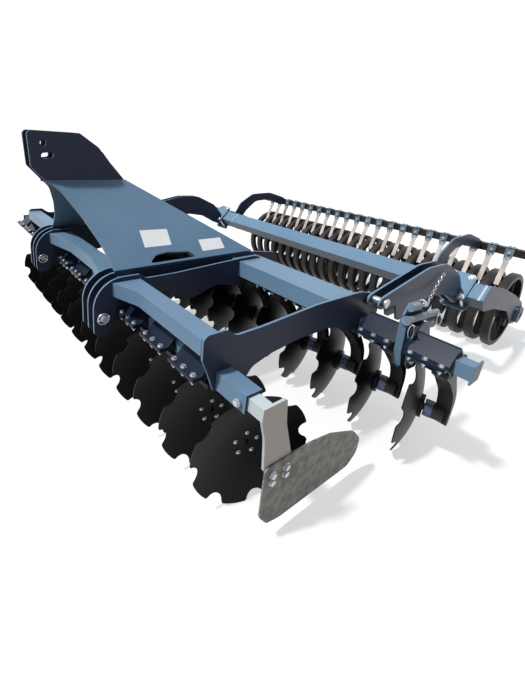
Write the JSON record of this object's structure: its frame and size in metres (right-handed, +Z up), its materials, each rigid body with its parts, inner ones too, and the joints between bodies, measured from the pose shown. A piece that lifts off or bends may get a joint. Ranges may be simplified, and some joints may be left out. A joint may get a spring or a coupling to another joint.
{
  "type": "compact disc harrow",
  "caption": "Three-point mounted compact disc harrow with two rows of notched discs on rubber-sprung arms and a rear hoop packer roller with scrapers.",
  "frame": {"origin": "on the ground, centred across and along the whole machine", "axes": "+X to the machine's left, +Y to the rear, +Z up"},
  "size_m": [3.596, 3.7416, 1.514],
  "materials": {
    "frame_paint": "satin blue-grey paint",
    "clamp_paint": "satin dark blue-grey paint",
    "disc_black": "semi-gloss black",
    "arm_black": "satin black",
    "rubber": "matte",
    "zinc": "bright zinc plate",
    "primer": "matte grey primer",
    "bare_steel": "bare rolled steel"
  },
  "bodies": {
    "frame": {"front_beam": "frame_paint", "rear_beam": "frame_paint", "side_plates": "frame_paint", "hitch_plates": "frame_paint", "headstock": "frame_paint", "pins": "zinc", "front_carrier": "frame_paint", "rear_carrier": "frame_paint", "clamps": "clamp_paint", "rubber_cords": "rubber", "disc_arms": "arm_black", "deflector_holders": "primer", "deflector_plates": "bare_steel"},
    "front_disc_01": {"front_disc_01": "disc_black"},
    "front_disc_02": {"front_disc_02": "disc_black"},
    "front_disc_03": {"front_disc_03": "disc_black"},
    "front_disc_04": {"front_disc_04": "disc_black"},
    "front_disc_05": {"front_disc_05": "disc_black"},
    "front_disc_06": {"front_disc_06": "disc_black"},
    "front_disc_07": {"front_disc_07": "disc_black"},
    "front_disc_08": {"front_disc_08": "disc_black"},
    "front_disc_09": {"front_disc_09": "disc_black"},
    "front_disc_10": {"front_disc_10": "disc_black"},
    "front_disc_11": {"front_disc_11": "disc_black"},
    "front_disc_12": {"front_disc_12": "disc_black"},
    "rear_disc_01": {"rear_disc_01": "disc_black"},
    "rear_disc_02": {"rear_disc_02": "disc_black"},
    "rear_disc_03": {"rear_disc_03": "disc_black"},
    "rear_disc_04": {"rear_disc_04": "disc_black"},
    "rear_disc_05": {"rear_disc_05": "disc_black"},
    "rear_disc_06": {"rear_disc_06": "disc_black"},
    "rear_disc_07": {"rear_disc_07": "disc_black"},
    "rear_disc_08": {"rear_disc_08": "disc_black"},
    "rear_disc_09": {"rear_disc_09": "disc_black"},
    "rear_disc_10": {"rear_disc_10": "disc_black"},
    "rear_disc_11": {"rear_disc_11": "disc_black"},
    "rear_disc_12": {"rear_disc_12": "disc_black"},
    "roller_frame": {"roller_arms": "frame_paint", "roller_beam": "frame_paint", "beam_saddles": "frame_paint", "roller_end_plates": "frame_paint", "scraper_bar": "arm_black", "bar_supports": "frame_paint", "scrapers": "bare_steel"},
    "roller": {"roller_rings": "arm_black", "roller_shaft": "arm_black"}
  },
  "joints": [
    {"name": "front_spin_01", "type": "hinge", "parent": "frame", "child": "front_disc_01", "pos_m": [1.274, -1.3391, 0.28], "axis": [0.9613, -0.2756, 0], "continuous": true},
    {"name": "front_spin_02", "type": "hinge", "parent": "frame", "child": "front_disc_02", "pos_m": [1.024, -1.3391, 0.28], "axis": [0.9613, -0.2756, 0], "continuous": true},
    {"name": "front_spin_03", "type": "hinge", "parent": "frame", "child": "front_disc_03", "pos_m": [0.774, -1.3391, 0.28], "axis": [0.9613, -0.2756, 0], "continuous": true},
    {"name": "front_spin_04", "type": "hinge", "parent": "frame", "child": "front_disc_04", "pos_m": [0.524, -1.3391, 0.28], "axis": [0.9613, -0.2756, 0], "continuous": true},
    {"name": "front_spin_05", "type": "hinge", "parent": "frame", "child": "front_disc_05", "pos_m": [0.274, -1.3391, 0.28], "axis": [0.9613, -0.2756, 0], "continuous": true},
    {"name": "front_spin_06", "type": "hinge", "parent": "frame", "child": "front_disc_06", "pos_m": [0.024, -1.3391, 0.28], "axis": [0.9613, -0.2756, 0], "continuous": true},
    {"name": "front_spin_07", "type": "hinge", "parent": "frame", "child": "front_disc_07", "pos_m": [-0.226, -1.3391, 0.28], "axis": [0.9613, -0.2756, 0], "continuous": true},
    {"name": "front_spin_08", "type": "hinge", "parent": "frame", "child": "front_disc_08", "pos_m": [-0.476, -1.3391, 0.28], "axis": [0.9613, -0.2756, 0], "continuous": true},
    {"name": "front_spin_09", "type": "hinge", "parent": "frame", "child": "front_disc_09", "pos_m": [-0.726, -1.3391, 0.28], "axis": [0.9613, -0.2756, 0], "continuous": true},
    {"name": "front_spin_10", "type": "hinge", "parent": "frame", "child": "front_disc_10", "pos_m": [-0.976, -1.3391, 0.28], "axis": [0.9613, -0.2756, 0], "continuous": true},
    {"name": "front_spin_11", "type": "hinge", "parent": "frame", "child": "front_disc_11", "pos_m": [-1.226, -1.3391, 0.28], "axis": [0.9613, -0.2756, 0], "continuous": true},
    {"name": "front_spin_12", "type": "hinge", "parent": "frame", "child": "front_disc_12", "pos_m": [-1.476, -1.3391, 0.28], "axis": [0.9613, -0.2756, 0], "continuous": true},
    {"name": "rear_spin_01", "type": "hinge", "parent": "frame", "child": "rear_disc_01", "pos_m": [1.584, -0.3641, 0.28], "axis": [-0.9613, -0.2756, 0], "continuous": true},
    {"name": "rear_spin_02", "type": "hinge", "parent": "frame", "child": "rear_disc_02", "pos_m": [1.334, -0.3641, 0.28], "axis": [-0.9613, -0.2756, 0], "continuous": true},
    {"name": "rear_spin_03", "type": "hinge", "parent": "frame", "child": "rear_disc_03", "pos_m": [1.084, -0.3641, 0.28], "axis": [-0.9613, -0.2756, 0], "continuous": true},
    {"name": "rear_spin_04", "type": "hinge", "parent": "frame", "child": "rear_disc_04", "pos_m": [0.834, -0.3641, 0.28], "axis": [-0.9613, -0.2756, 0], "continuous": true},
    {"name": "rear_spin_05", "type": "hinge", "parent": "frame", "child": "rear_disc_05", "pos_m": [0.584, -0.3641, 0.28], "axis": [-0.9613, -0.2756, 0], "continuous": true},
    {"name": "rear_spin_06", "type": "hinge", "parent": "frame", "child": "rear_disc_06", "pos_m": [0.334, -0.3641, 0.28], "axis": [-0.9613, -0.2756, 0], "continuous": true},
    {"name": "rear_spin_07", "type": "hinge", "parent": "frame", "child": "rear_disc_07", "pos_m": [0.084, -0.3641, 0.28], "axis": [-0.9613, -0.2756, 0], "continuous": true},
    {"name": "rear_spin_08", "type": "hinge", "parent": "frame", "child": "rear_disc_08", "pos_m": [-0.166, -0.3641, 0.28], "axis": [-0.9613, -0.2756, 0], "continuous": true},
    {"name": "rear_spin_09", "type": "hinge", "parent": "frame", "child": "rear_disc_09", "pos_m": [-0.416, -0.3641, 0.28], "axis": [-0.9613, -0.2756, 0], "continuous": true},
    {"name": "rear_spin_10", "type": "hinge", "parent": "frame", "child": "rear_disc_10", "pos_m": [-0.666, -0.3641, 0.28], "axis": [-0.9613, -0.2756, 0], "continuous": true},
    {"name": "rear_spin_11", "type": "hinge", "parent": "frame", "child": "rear_disc_11", "pos_m": [-0.916, -0.3641, 0.28], "axis": [-0.9613, -0.2756, 0], "continuous": true},
    {"name": "rear_spin_12", "type": "hinge", "parent": "frame", "child": "rear_disc_12", "pos_m": [-1.166, -0.3641, 0.28], "axis": [-0.9613, -0.2756, 0], "continuous": true},
    {"name": "roller_depth", "type": "hinge", "parent": "frame", "child": "roller_frame", "pos_m": [0, -0.4941, 0.798], "axis": [1, 0, 0], "range_deg": [0, 6]},
    {"name": "roller_spin", "type": "hinge", "parent": "roller_frame", "child": "roller", "pos_m": [0, 1.5459, 0.325], "axis": [1, 0, 0], "continuous": true}
  ]
}
